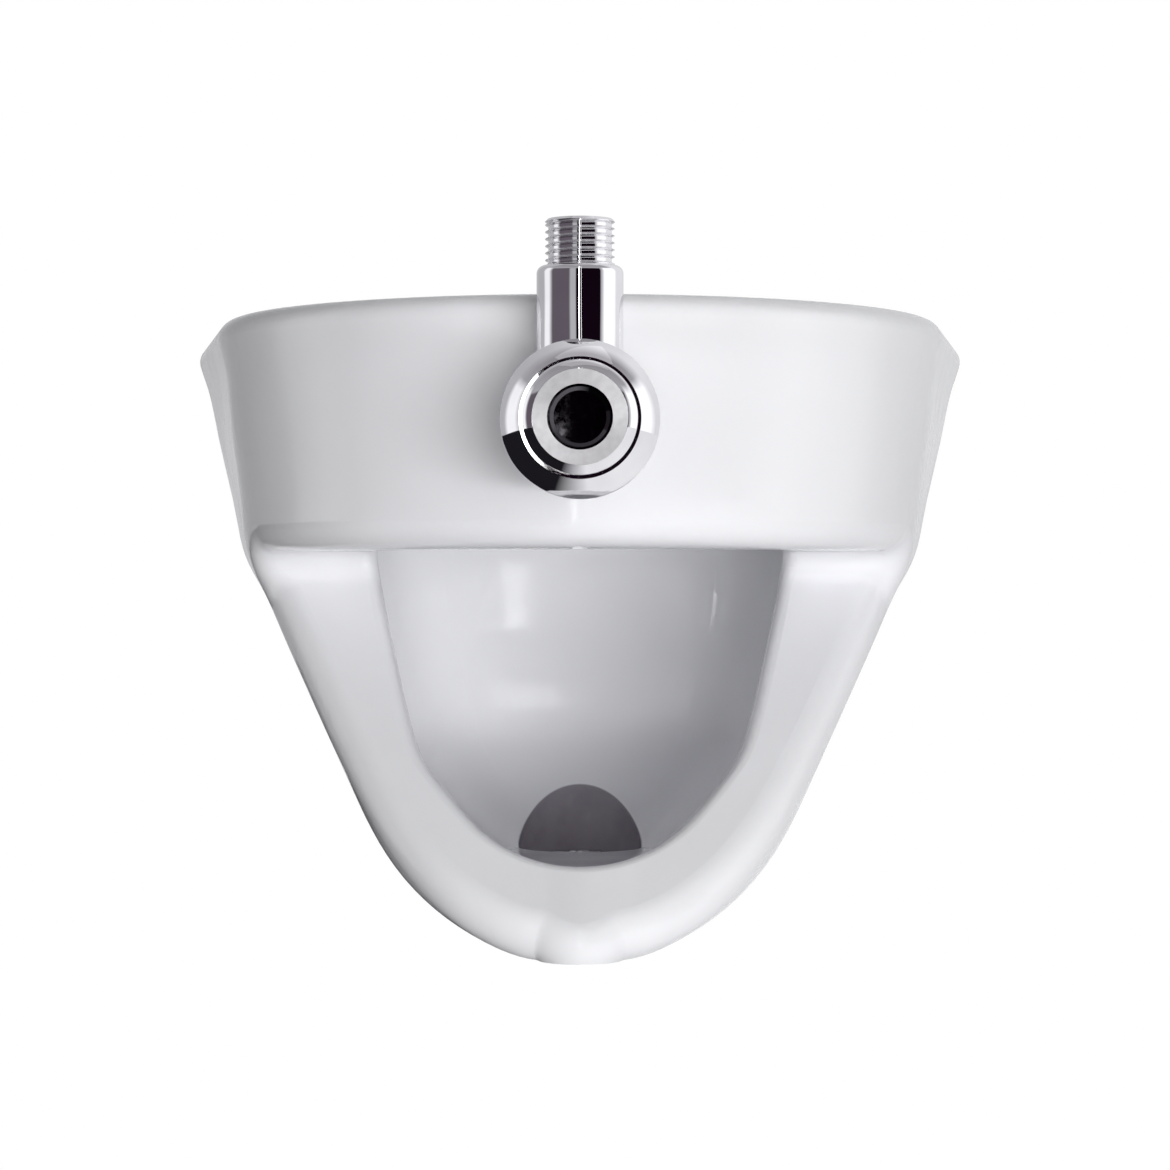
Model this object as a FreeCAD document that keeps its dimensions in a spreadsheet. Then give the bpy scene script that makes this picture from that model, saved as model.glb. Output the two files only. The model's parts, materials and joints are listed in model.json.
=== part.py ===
"""Wall hung urinal with a push button flush valve, millimetres.

The wall is the plane y = 0 and the bowl stands out from it towards -Y, with +Z up and +X to the
right of someone who faces it. The origin is midway between the two hanger screw holes.
"""
import FreeCAD, Part
import math
import os
import re

import Sketcher

# Every driving size, in millimetres, angles in degrees. Heights are from the hanger holes.
SIZES = {
    # china bowl, outside: height, half width at the wall, reach and nose radius at the deck and apron
    "deck_up": 60.2, "deck_half": 179, "deck_reach": 276, "deck_nose": 155,
    "apron_down": 38, "apron_half": 157, "apron_reach": 274, "apron_nose": 141.5,
    # below the apron the nose narrows as a cone, then round a bend to the foot; its centre moves
    # out with it, by lean for each millimetre lost, less bow for its square
    "cone_slope": 27.75, "bend_round": 96.8, "bend_end": 80.5, "lean": 1.874, "bow": 0.0054,
    # what is ground off the back to lie flat on the wall
    "wall_grind": 1,
    # the mouth below the apron and the rim that leans out of it
    "mouth_out": 158, "rim_slope": 45.4, "mouth_corner": 8, "mouth_round_reach": 20,
    "rim_roll": 12, "inner_roll": 6, "deck_roll": 8,
    # basin, inside: height, back wall, half width, reach, nose radius and back corner radius
    "roof_up": 23, "roof_back": 28, "roof_wide": 98, "roof_out": 230, "roof_tip": 84, "roof_corner": 34,
    "lintel_down": 38, "lintel_back": 28, "lintel_wide": 98, "lintel_out": 234, "lintel_tip": 86,
    "lintel_corner": 34,
    "waist_down": 73, "waist_back": 28, "waist_wide": 90, "waist_out": 262, "waist_tip": 77, "waist_corner": 31,
    "belly_down": 113, "belly_back": 34, "belly_wide": 79, "belly_out": 274, "belly_tip": 68,
    "belly_corner": 30,
    "slope_down": 137, "slope_back": 50, "slope_wide": 66, "slope_out": 276, "slope_tip": 57,
    "slope_corner": 28,
    "dip_down": 150, "dip_back": 62, "dip_wide": 55, "dip_out": 276.5, "dip_tip": 47, "dip_corner": 25,
    "bed_down": 160, "bed_back": 72, "bed_wide": 44, "bed_out": 272.5, "bed_tip": 36, "bed_corner": 19,
    "floor_down": 168, "floor_back": 82, "floor_wide": 32, "floor_out": 264, "floor_tip": 24,
    "floor_corner": 12,
    # sump, drain hole and the collar under it
    "sump_out": 82, "sump_radius": 27, "sump_down": 176, "sump_lift": 66,
    "drain_radius": 23, "collar_radius": 36, "collar_down": 198, "collar_lift": 26,
    # hollows behind the basin
    "recess_half": 104, "recess_depth": 14, "recess_down": 100,
    "hollow_near": 112, "hollow_far": 138, "hollow_depth": 96, "hollow_up": 34, "hollow_low": 34,
    # flush channel in the apron and its holes
    "channel_out": 263, "channel_depth": 17, "channel_low": 30, "channel_up": 42, "channel_spread": 48,
    "jet_radius": 3.2, "jet_out": 263.5, "side_jet_out": 256, "jet_step": 9,
    # inlet hole and its flat pad
    "pad_out": 271, "pad_radius": 26, "inlet_hole_radius": 21,
    # hangers and their pockets
    "hanger_apart": 140, "hook_width": 40, "hook_sheet": 3, "hook_low": 16, "hook_shelf_up": 26,
    "hook_shelf_out": 16, "hook_lip_up": 32, "hook_hole_radius": 4.5, "hook_room": 3,
    "bar_thick": 12.5, "groove_depth": 8.5, "groove_up": 38, "groove_low": 5,
    # flush valve body
    "valve_out": 296, "valve_up": 9,
    "chamber_radius": 23, "chamber_front": 26, "chamber_back": 20, "chamber_bore": 17,
    "chamber_floor": 10, "seat_pocket_radius": 15, "seat_thick": 3,
    "spigot_radius": 16, "spigot_bore": 12.5, "spigot_back": 41,
    "neck_radius": 16.35, "neck_up": 59, "neck_roll": 3, "inlet_bore": 9,
    "thread_radius": 13.22, "thread_long": 17.5, "thread_chamfer": 1,
    # inlet filter
    "filter_seat_radius": 10.8, "filter_seat_deep": 3, "filter_flange_thick": 1.5, "filter_long": 13,
    "filter_wall": 0.8, "filter_hole": 0.9, "filter_ring": 5,
    # wall of the valve that faces the china
    "gasket_thick": 2, "gasket_radius": 22, "escutcheon_radius": 24, "cuff_lip": 2, "cuff_bead": 2.5,
    # bonnet
    "bonnet_back": 16.8, "bonnet_radius": 29.5, "bonnet_straight": 28.6, "bonnet_dome": 34,
    "bonnet_lip_out": 37.4, "bonnet_lip_wide": 1.2, "bonnet_web": 3, "hub_radius": 7.5, "hub_proud": 2,
    "seal_thick": 1, "gland_radius": 5.4, "gland_deep": 1.9,
    # button
    "button_radius": 21.1, "button_front": 44, "button_skirt": 2.3, "button_face": 3, "button_travel": 5,
    "button_rim": 41, "button_dome": 9, "button_boss": 6, "button_roll": 0.8,
    "dish_radius": 11, "dish_floor_radius": 9.6, "dish_deep": 0.9,
    "insert_inner": 12, "insert_outer": 17.5, "insert_sunk": 1, "insert_proud": 0.3,
    "mark_radius": 14.75, "mark_long": 3, "mark_wide": 0.8, "mark_high": 0.3,
    # moving valve gear
    "stem_radius": 3.5, "stem_tip_radius": 2.5, "collar_rim": 6.5, "collar_thick": 2.5,
    "washer_thick": 1.2, "washer_radius": 10.3, "disc_thick": 3, "nut_thick": 2.4, "nut_half": 4.2,
    "seat_bore": 8, "sleeve_wall": 2.4, "sleeve_front": 12.5, "guide_thick": 3,
    "window_half": 8, "spring_radius": 5, "spring_wire": 1,
    # waste
    "waste_flange": 25.5, "flange_thick": 3, "waste_radius": 20.955, "waste_bore": 18,
    "tail_radius": 20, "waste_end": 217.5,
    "strainer_radius": 22.3, "strainer_thick": 1.5, "strainer_hole": 2, "inner_ring": 9, "outer_ring": 16.6,
    "cross_wide": 8, "cross_thick": 6, "cross_drop": 6, "cross_root": 1,
    "screw_radius": 2.45, "screw_head": 5, "screw_head_high": 2,
    "upper_gasket_thick": 1.5, "lower_gasket_thick": 2, "lower_gasket_radius": 34,
    "slip_washer_thick": 1.5, "slip_washer_radius": 32, "locknut_thick": 8, "locknut_flats": 54,
    # clearances
    "running_gap": 0.08, "seat_gap": 0.3, "slip_gap": 0.2, "thread_gap": 0.05,
}

SPRING_TURNS = 5
STRAINER_ROUND = 8
FILTER_ROUND = 6
MARKS_ROUND = 12
JETS_EACH_SIDE = 3
TINY = 1e-6
# how close a point has to lie to count as on an edge, on the bowl's skin and on its mouth
ON_EDGE = 0.01
ON_SKIN = 0.02
ON_APRON = 0.5
ON_RIM = 1
# points tried along each edge
SAMPLES = 7
CHANNEL_CENTRE_OUT = "((deck_reach - deck_nose + apron_reach - apron_nose) / 2)"

doc = FreeCAD.newDocument("wall_hung_urinal")
sheet = doc.addObject("Spreadsheet::Sheet", "Sizes")
for row, (alias, value) in enumerate(SIZES.items(), start=1):
    sheet.set(f"A{row}", alias)
    sheet.set(f"B{row}", str(value))
    sheet.setAlias(f"B{row}", alias)
doc.recompute()

parts = []


def linked(words):
    """The expression with each size read from the sheet."""
    return re.sub(r"\b[a-z]\w*\b(?!\()", lambda found: "Sizes." + found.group(), words)


def number(words):
    """The expression's value, for a sketch's first guess and for edge picking."""
    return float(sheet.evalExpression(linked(words)))


def sub_part(label, side="0", out="0", up="0"):
    """A body whose own origin lies side, out from the wall and up."""
    body = doc.addObject("PartDesign::Body", label)
    body.Label = label
    body.Placement = FreeCAD.Placement(FreeCAD.Vector(0, 0, 0), FreeCAD.Rotation())
    body.setExpression("Placement.Base.x", linked(side))
    body.setExpression("Placement.Base.y", linked(f"-({out})"))
    body.setExpression("Placement.Base.z", linked(up))
    parts.append(body)
    return body


def sketch_on(body, role, name, offset="0"):
    """A sketch on one of the body's origin planes, moved along its normal by offset."""
    sketch = body.newObject("Sketcher::SketchObject", f"{body.Name}_{name}")
    plane = [item for item in body.Origin.OriginFeatures if item.Role == role][0]
    sketch.AttachmentSupport = [(plane, "")]
    sketch.MapMode = "FlatFace"
    sketch.setExpression("AttachmentOffset.Base.z", linked(offset))
    return sketch


def bound(sketch, kind, references, words):
    """A dimension that follows an expression."""
    place = sketch.addConstraint(Sketcher.Constraint(kind, *references, number(words)))
    sketch.setExpression(f"Constraints[{place}]", linked(words))


def hold_point(sketch, item, end, across, along):
    """Fixes one point of the sketch at (across, along)."""
    if across == "0":
        sketch.addConstraint(Sketcher.Constraint("PointOnObject", item, end, -2))
    else:
        bound(sketch, "DistanceX", (-1, 1, item, end), across)
    if along == "0":
        sketch.addConstraint(Sketcher.Constraint("PointOnObject", item, end, -1))
    else:
        bound(sketch, "DistanceY", (-1, 1, item, end), along)


def bulging(start, end, radius):
    """Arc that bulges to the left of the way from start to end."""
    half = (end - start) / 2
    left = FreeCAD.Vector(-half.y, half.x, 0) / half.Length
    return Part.Arc(start, start + half + left * (radius - math.sqrt(radius ** 2 - half.Length ** 2)), end)


def draw_outline(sketch, points, arcs=None):
    """A closed outline through (across, along) pairs; arcs gives the radius of the sides that bulge."""
    arcs = arcs or {}
    spots = [FreeCAD.Vector(number(across), number(along), 0) for across, along in points]
    first = sketch.GeometryCount
    count = len(spots)
    for turn in range(count):
        start, end = spots[turn], spots[(turn + 1) % count]
        if turn in arcs:
            sketch.addGeometry(bulging(start, end, number(arcs[turn])))
        else:
            sketch.addGeometry(Part.LineSegment(start, end))
    # an arc that bulges to the left runs clockwise and is stored the other way round
    heads = [2 if turn in arcs else 1 for turn in range(count)]
    for turn in range(count):
        following = (turn + 1) % count
        sketch.addConstraint(Sketcher.Constraint(
            "Coincident", first + turn, 3 - heads[turn], first + following, heads[following]))
        hold_point(sketch, first + turn, heads[turn], *points[turn])
        if turn in arcs:
            bound(sketch, "Radius", (first + turn,), arcs[turn])
    return first


def draw_circle(sketch, radius, across="0", along="0"):
    """A circle of a bound radius about a bound centre."""
    centre = FreeCAD.Vector(number(across), number(along), 0)
    item = sketch.addGeometry(Part.Circle(centre, FreeCAD.Vector(0, 0, 1), number(radius)))
    hold_point(sketch, item, 3, across, along)
    bound(sketch, "Radius", (item,), radius)
    return item


def finish_feature(body, feature):
    """Recomputes and stops on a feature that failed."""
    doc.recompute()
    if {"Invalid", "Error"} & set(feature.State):
        raise RuntimeError(f"{feature.Name} failed: {feature.State}")
    body.Tip = feature
    return feature


def pad(body, sketch, length, backwards=False, midplane=False):
    feature = body.newObject("PartDesign::Pad", f"{sketch.Name}_pad")
    feature.Profile = sketch
    feature.setExpression("Length", linked(length))
    feature.Reversed = backwards
    feature.Midplane = midplane
    return finish_feature(body, feature)


def pocket(body, sketch, depth, backwards=False, midplane=False):
    """Cuts the sketch away and checks that something went."""
    before, faces = body.Shape.Volume, len(body.Shape.Faces)
    feature = body.newObject("PartDesign::Pocket", f"{sketch.Name}_cut")
    feature.Profile = sketch
    feature.setExpression("Length", linked(depth))
    feature.Reversed = backwards
    feature.Midplane = midplane
    finish_feature(body, feature)
    if body.Shape.Volume > before - TINY and len(body.Shape.Faces) == faces:
        raise RuntimeError(f"{feature.Name} cuts nothing")
    return feature


def turn(body, sketch, cut=False):
    """Turns a sketch about its own vertical axis, as material or as a cut."""
    kind = "PartDesign::Groove" if cut else "PartDesign::Revolution"
    feature = body.newObject(kind, f"{sketch.Name}_turned")
    feature.Profile = sketch
    feature.ReferenceAxis = (sketch, ["V_Axis"])
    feature.Angle = 360
    return finish_feature(body, feature)


def turned_out(body, name, points, cut=False, arcs=None):
    """A solid turned about the valve's axis from (radius, distance out) pairs."""
    sketch = sketch_on(body, "XY_Plane", name)
    draw_outline(sketch, [(radius, f"-({out})") for radius, out in points], arcs)
    return turn(body, sketch, cut)


def turned_up(body, name, points, cut=False):
    """A solid turned about an upright axis from (radius, height) pairs."""
    sketch = sketch_on(body, "XZ_Plane", name)
    draw_outline(sketch, points)
    return turn(body, sketch, cut)


def edges_where(shape, test):
    """Names of the edges all of whose sampled points pass the test."""
    return [
        f"Edge{index}" for index, edge in enumerate(shape.Edges, start=1)
        if all(test(point) for point in edge.discretize(SAMPLES))
    ]


def round_edges(body, name, radius, test, kind="Fillet"):
    """Rounds or chamfers the edges that pass a test on their points, in the body's own frame."""
    base = body.Tip
    names = edges_where(base.Shape, test)
    if not names:
        raise RuntimeError(f"no edge of {body.Name} to round for {name}")
    feature = body.newObject(f"PartDesign::{kind}", f"{body.Name}_{name}")
    feature.Base = (base, names)
    feature.setExpression("Radius" if kind == "Fillet" else "Size", linked(radius))
    return finish_feature(body, feature)


def at_radius(words_radius, words_out):
    """Test for a circle of this radius about the valve's axis, this far out."""
    def test(point):
        off = math.hypot(point.x, point.z) - number(words_radius)
        return abs(off) < ON_EDGE and abs(point.y + number(words_out)) < ON_EDGE
    return test


def at_height(words_radius, words_up):
    """Test for a circle of this radius about an upright axis, at this height."""
    def test(point):
        off = math.hypot(point.x, point.y) - number(words_radius)
        return abs(off) < ON_EDGE and abs(point.z - number(words_up)) < ON_EDGE
    return test


# ---------------------------------------------------------------- china bowl

# each level, and in how many even steps the surface gets to it from the one above
OUTER_LEVELS = (("deck", 1), ("apron", 5))
CONE_STEPS = 6
BEND_STEPS = 4
BASIN_LEVELS = (
    ("roof", 1), ("lintel", 3), ("waist", 2), ("belly", 2), ("slope", 1), ("dip", 1), ("bed", 1), ("floor", 1),
)


def level_size(level, word):
    """Expression for one size of a level."""
    if word == "height":
        return f"{level}_up" if f"{level}_up" in SIZES else f"(-{level}_down)"
    return f"{level}_{word}"


def even_steps(levels, words):
    """The sections' names and sizes: each level's own, and even steps between neighbours."""
    above = None
    for level, steps in levels:
        for step in range(1, steps + 1):
            sizes = {}
            for word in words:
                here = level_size(level, word)
                before = level_size(above or level, word)
                sizes[word] = here if step == steps else f"({before} + ({here} - {before}) * {step} / {steps})"
            yield f"{level}{step}", sizes
        above = level


def bowl_section(nose, height):
    """Sizes of a section below the apron from its nose radius and height."""
    lost = f"(apron_nose - ({nose}))"
    return {
        "height": height,
        "nose": f"({nose})",
        "half": f"({nose} + apron_half - apron_nose)",
        "reach": f"({nose} + apron_reach - apron_nose + lean * {lost} - bow * {lost}^2)",
    }


def bowl_steps():
    """Sections from the apron to the foot: evenly down the cone, then evenly round the bend."""
    cone_long = "(apron_nose - bend_round * cos(cone_slope)) / sin(cone_slope)"
    cone_foot = f"(-apron_down - {cone_long} * cos(cone_slope))"
    for step in range(1, CONE_STEPS + 1):
        run = f"({cone_long} * {step} / {CONE_STEPS})"
        nose = f"apron_nose - {run} * sin(cone_slope)"
        yield f"cone{step}", bowl_section(nose, f"(-apron_down - {run} * cos(cone_slope))")
    for step in range(1, BEND_STEPS + 1):
        angle = f"(cone_slope + (bend_end - cone_slope) * {step} / {BEND_STEPS})"
        height = f"({cone_foot} - bend_round * (sin{angle} - sin(cone_slope)))"
        yield f"bend{step}", bowl_section(f"bend_round * cos{angle}", height)


def d_section(body, name, sizes):
    """Outside of the bowl at one height: a back line to be ground off, two sides and a round nose."""
    half, reach, nose = (number(sizes[word]) for word in ("half", "reach", "nose"))
    behind = number("wall_grind")
    centre = FreeCAD.Vector(0, nose - reach, 0)
    from_centre = math.atan2(-centre.y, half)
    tangent = from_centre - math.acos(nose / math.hypot(half, centre.y))
    touch = centre + FreeCAD.Vector(nose * math.cos(tangent), nose * math.sin(tangent), 0)
    other = FreeCAD.Vector(-touch.x, touch.y, 0)
    right, left = FreeCAD.Vector(half, behind, 0), FreeCAD.Vector(-half, behind, 0)
    sketch = sketch_on(body, "XY_Plane", name, sizes["height"])
    back = sketch.addGeometry(Part.LineSegment(left, right))
    side = sketch.addGeometry(Part.LineSegment(right, touch))
    arc = sketch.addGeometry(Part.Arc(touch, FreeCAD.Vector(0, -reach, 0), other))
    return_side = sketch.addGeometry(Part.LineSegment(other, left))
    # an arc is stored anticlockwise, so its start lies on the left
    sketch.addConstraint(Sketcher.Constraint("Coincident", back, 2, side, 1))
    sketch.addConstraint(Sketcher.Constraint("Coincident", return_side, 2, back, 1))
    sketch.addConstraint(Sketcher.Constraint("Tangent", side, 2, arc, 2))
    sketch.addConstraint(Sketcher.Constraint("Tangent", return_side, 1, arc, 1))
    sketch.addConstraint(Sketcher.Constraint("PointOnObject", arc, 3, -2))
    hold_point(sketch, back, 1, f"-{sizes['half']}", "wall_grind")
    hold_point(sketch, back, 2, sizes["half"], "wall_grind")
    bound(sketch, "Radius", (arc,), sizes["nose"])
    bound(sketch, "DistanceY", (-1, 1, arc, 3), f"{sizes['nose']} - {sizes['reach']}")
    return sketch


def basin_section(body, name, sizes):
    """Inside of the basin at one height: as outside, with round corners at its back wall."""
    words = ("wide", "back", "out", "tip", "corner")
    wide, back_wall, out, tip, corner = (number(sizes[word]) for word in words)
    middle = FreeCAD.Vector(wide - corner, -back_wall - corner, 0)
    nose = FreeCAD.Vector(0, tip - out, 0)
    across = nose - middle
    normal = math.atan2(across.y, across.x) + math.acos((corner - tip) / across.Length)
    halfway = (normal + math.pi / 2) / 2

    def around(centre, radius, angle):
        return centre + FreeCAD.Vector(radius * math.cos(angle), radius * math.sin(angle), 0)

    def mirrored(point):
        return FreeCAD.Vector(-point.x, point.y, 0)

    top = around(middle, corner, math.pi / 2)
    bend = around(middle, corner, halfway)
    start = around(middle, corner, normal)
    touch = around(nose, tip, normal)
    sketch = sketch_on(body, "XY_Plane", name, sizes["height"])
    wall = sketch.addGeometry(Part.LineSegment(mirrored(top), top))
    right_bend = sketch.addGeometry(Part.Arc(top, bend, start))
    right = sketch.addGeometry(Part.LineSegment(start, touch))
    front = sketch.addGeometry(Part.Arc(touch, FreeCAD.Vector(0, -out, 0), mirrored(touch)))
    left = sketch.addGeometry(Part.LineSegment(mirrored(touch), mirrored(start)))
    left_bend = sketch.addGeometry(Part.Arc(mirrored(start), mirrored(bend), mirrored(top)))
    for one, one_end, other, other_end in (
        (wall, 2, right_bend, 2), (right, 1, right_bend, 1), (right, 2, front, 2),
        (left, 1, front, 1), (left, 2, left_bend, 2), (wall, 1, left_bend, 1),
    ):
        sketch.addConstraint(Sketcher.Constraint("Tangent", one, one_end, other, other_end))
    sketch.addConstraint(Sketcher.Constraint("PointOnObject", front, 3, -2))
    bound(sketch, "Radius", (right_bend,), sizes["corner"])
    bound(sketch, "Radius", (left_bend,), sizes["corner"])
    bound(sketch, "Radius", (front,), sizes["tip"])
    side, depth = f"({sizes['wide']} - {sizes['corner']})", f"(-{sizes['back']} - {sizes['corner']})"
    hold_point(sketch, right_bend, 3, side, depth)
    bound(sketch, "DistanceX", (-1, 1, left_bend, 3), f"-{side}")
    bound(sketch, "DistanceY", (-1, 1, front, 3), f"{sizes['tip']} - {sizes['out']}")
    return sketch


def loft(body, name, sketches, cut=False):
    kind = "PartDesign::SubtractiveLoft" if cut else "PartDesign::AdditiveLoft"
    feature = body.newObject(kind, f"{body.Name}_{name}")
    feature.Profile = sketches[0]
    feature.Sections = sketches[1:]
    feature.Ruled = False
    return finish_feature(body, feature)


def rim_height(point_y):
    """Height of the leaning rim plane at this y."""
    slope = math.tan(math.radians(number("rim_slope")))
    return -number("apron_down") + slope * (point_y + number("mouth_out"))


def on_mouth(point):
    """True on the apron's underside, on the leaning rim plane and in the round between them."""
    reach = number("mouth_round_reach")
    beyond = point.y + number("mouth_out")
    below = -number("apron_down") - point.z
    under = abs(below) < ON_APRON
    leaning = abs(point.z - rim_height(point.y)) < ON_RIM
    corner = abs(beyond) < reach and -ON_APRON < below < reach
    return beyond < reach and (under or leaning or corner)


def china_bowl():
    body = sub_part("china_bowl")
    outer = [*even_steps(OUTER_LEVELS, ("height", "half", "reach", "nose")), *bowl_steps()]
    loft(body, "outside", [d_section(body, f"outside_{name}", sizes) for name, sizes in outer])
    shell = body.Shape.copy()

    collar = sketch_on(body, "XY_Plane", "collar", "-collar_down")
    draw_circle(collar, "collar_radius", "0", "-sump_out")
    pad(body, collar, "collar_lift")

    # mouth: level under the apron, round at the corner, then leaning down and out
    mouth = sketch_on(body, "YZ_Plane", "mouth")
    far = "(2 * deck_reach)"
    draw_outline(mouth, [
        ("-mouth_out", "-apron_down"),
        (f"-{far}", "-apron_down"),
        (f"-{far}", f"-apron_down - ({far} - mouth_out) * tan(rim_slope)"),
    ])
    pocket(body, mouth, "4 * deck_half", midplane=True)
    round_edges(body, "mouth_corner", "mouth_corner", lambda point: (
        abs(point.y + number("mouth_out")) < ON_EDGE and abs(point.z + number("apron_down")) < ON_EDGE))

    inner = even_steps(BASIN_LEVELS, ("height", "wide", "back", "out", "tip", "corner"))
    basin_loft = loft(body, "basin", [
        basin_section(body, f"basin_{name}", sizes) for name, sizes in inner
    ], cut=True)

    skin = shell.Shells[0]

    def on_skin(point):
        return skin.distToShape(Part.Vertex(point))[0] < ON_SKIN

    round_edges(body, "rim", "rim_roll", lambda point: on_mouth(point) and on_skin(point))
    basin = basin_loft.AddSubShape.Shells[0]
    round_edges(body, "inner_rim", "inner_roll", lambda point: (
        on_mouth(point) and basin.distToShape(Part.Vertex(point))[0] < ON_SKIN))
    wall = number("deck_half") - ON_EDGE
    round_edges(body, "deck_edge", "deck_roll", lambda point: (
        abs(point.z - number("deck_up")) < ON_EDGE and (point.y < -ON_EDGE or abs(point.x) > wall)))

    wall_face = sketch_on(body, "XZ_Plane", "wall_face")
    draw_outline(wall_face, [
        ("-2 * deck_half", "-2 * collar_down"), ("2 * deck_half", "-2 * collar_down"),
        ("2 * deck_half", "2 * deck_up"), ("-2 * deck_half", "2 * deck_up"),
    ])
    pocket(body, wall_face, "2 * wall_grind")

    sump = sketch_on(body, "XY_Plane", "sump", "-sump_down")
    draw_circle(sump, "sump_radius", "0", "-sump_out")
    pocket(body, sump, "sump_lift", backwards=True)
    drain = sketch_on(body, "XY_Plane", "drain", "-collar_down")
    draw_circle(drain, "drain_radius", "0", "-sump_out")
    pocket(body, drain, "sump_lift", backwards=True)
    rear_hollows(body)
    flush_channel(body)
    return body


def rear_hollows(body):
    """Recess behind the basin, the deeper hollows beside it, and the grooves for the hanger hooks."""
    recess = sketch_on(body, "XZ_Plane", "recess")
    draw_outline(recess, [
        ("-recess_half", "-recess_down"), ("recess_half", "-recess_down"),
        ("recess_half", "hook_shelf_up"), ("-recess_half", "hook_shelf_up"),
    ])
    pocket(body, recess, "recess_depth", backwards=True)
    for side in ("", "-"):
        hollow = sketch_on(body, "XZ_Plane", f"hollow{len(side)}")
        draw_outline(hollow, [
            (f"{side}hollow_near", "-hollow_low"), (f"{side}hollow_far", "-hollow_low"),
            (f"{side}hollow_far", "hollow_up"), (f"{side}hollow_near", "hollow_up"),
        ])
        pocket(body, hollow, "hollow_depth", backwards=True)
        groove = sketch_on(body, "XZ_Plane", f"groove{len(side)}", "bar_thick")
        near = f"{side}(hanger_apart - hook_width - 2 * hook_room) / 2"
        beyond = f"{side}(hanger_apart + hook_width + 2 * hook_room) / 2"
        draw_outline(groove, [
            (near, "-groove_low"), (beyond, "-groove_low"), (beyond, "groove_up"), (near, "groove_up"),
        ])
        pocket(body, groove, "groove_depth", backwards=True)


def flush_channel(body):
    """Closed channel behind the apron, the inlet hole with its flat pad, and the row of jets."""
    centre_out = CHANNEL_CENTRE_OUT
    outer, inner = f"channel_out - {centre_out}", f"channel_out - channel_depth - {centre_out}"
    channel = sketch_on(body, "XY_Plane", "channel", "-channel_low")
    centre = FreeCAD.Vector(0, -number(centre_out), 0)
    spread = math.radians(number("channel_spread"))

    def spot(radius, angle):
        return centre + FreeCAD.Vector(number(radius) * math.sin(angle), -number(radius) * math.cos(angle), 0)

    far_arc = channel.addGeometry(Part.Arc(spot(outer, -spread), spot(outer, 0), spot(outer, spread)))
    near_arc = channel.addGeometry(Part.Arc(spot(inner, -spread), spot(inner, 0), spot(inner, spread)))
    right = channel.addGeometry(Part.LineSegment(spot(outer, spread), spot(inner, spread)))
    left = channel.addGeometry(Part.LineSegment(spot(inner, -spread), spot(outer, -spread)))
    for one, one_end, other, other_end in (
        (far_arc, 2, right, 1), (right, 2, near_arc, 2), (near_arc, 1, left, 1), (left, 2, far_arc, 1),
    ):
        channel.addConstraint(Sketcher.Constraint("Coincident", one, one_end, other, other_end))
    for arc, radius in ((far_arc, outer), (near_arc, inner)):
        hold_point(channel, arc, 3, "0", f"-{centre_out}")
        bound(channel, "Radius", (arc,), radius)
    for arc, radius in ((far_arc, outer), (near_arc, inner)):
        bound(channel, "DistanceX", (-1, 1, arc, 2), f"({radius}) * sin(channel_spread)")
        bound(channel, "DistanceX", (-1, 1, arc, 1), f"-({radius}) * sin(channel_spread)")
    pocket(body, channel, "channel_low + channel_up", backwards=True)

    flat = sketch_on(body, "XZ_Plane", "pad", "pad_out")
    draw_circle(flat, "pad_radius", "0", "valve_up")
    pocket(body, flat, "deck_reach - pad_out + rim_roll", backwards=True)
    inlet = sketch_on(body, "XZ_Plane", "inlet", "pad_out")
    draw_circle(inlet, "inlet_hole_radius", "0", "valve_up")
    pocket(body, inlet, "pad_out - channel_out + channel_depth / 2")

    jets = sketch_on(body, "XY_Plane", "jets", "-apron_down - jet_radius")
    for count in range(-JETS_EACH_SIDE, JETS_EACH_SIDE + 1):
        reach = f"(side_jet_out - {centre_out})" if count else f"(jet_out - {centre_out})"
        across = f"{reach} * sin({count} * jet_step)" if count else "0"
        draw_circle(jets, "jet_radius", across, f"-{centre_out} - {reach} * cos({count} * jet_step)")
    pocket(body, jets, "apron_down + jet_radius - channel_low + channel_depth / 2", backwards=True)


# ---------------------------------------------------------------- hangers

def hanger(label, side):
    """A bent steel hook: plate on the wall, shelf under the china's bar and a lip in front of it."""
    body = sub_part(label, side=f"{side}hanger_apart / 2")
    profile = sketch_on(body, "YZ_Plane", "profile")
    draw_outline(profile, [
        ("0", "-hook_low"),
        ("0", "hook_shelf_up"),
        ("hook_sheet - hook_shelf_out", "hook_shelf_up"),
        ("hook_sheet - hook_shelf_out", "hook_lip_up"),
        ("-hook_shelf_out", "hook_lip_up"),
        ("-hook_shelf_out", "hook_shelf_up - hook_sheet"),
        ("-hook_sheet", "hook_shelf_up - hook_sheet"),
        ("-hook_sheet", "-hook_low"),
    ])
    pad(body, profile, "hook_width", midplane=True)
    hole = sketch_on(body, "XZ_Plane", "hole")
    draw_circle(hole, "hook_hole_radius")
    pocket(body, hole, "2 * hook_sheet", backwards=True)
    return body


# ---------------------------------------------------------------- flush valve

# which side of the bonnet's and of the button's outline is the domed one
BONNET_DOME = 2
BUTTON_DOME = 2


def valve_part(label):
    return sub_part(label, out="valve_out", up="valve_up")


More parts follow.
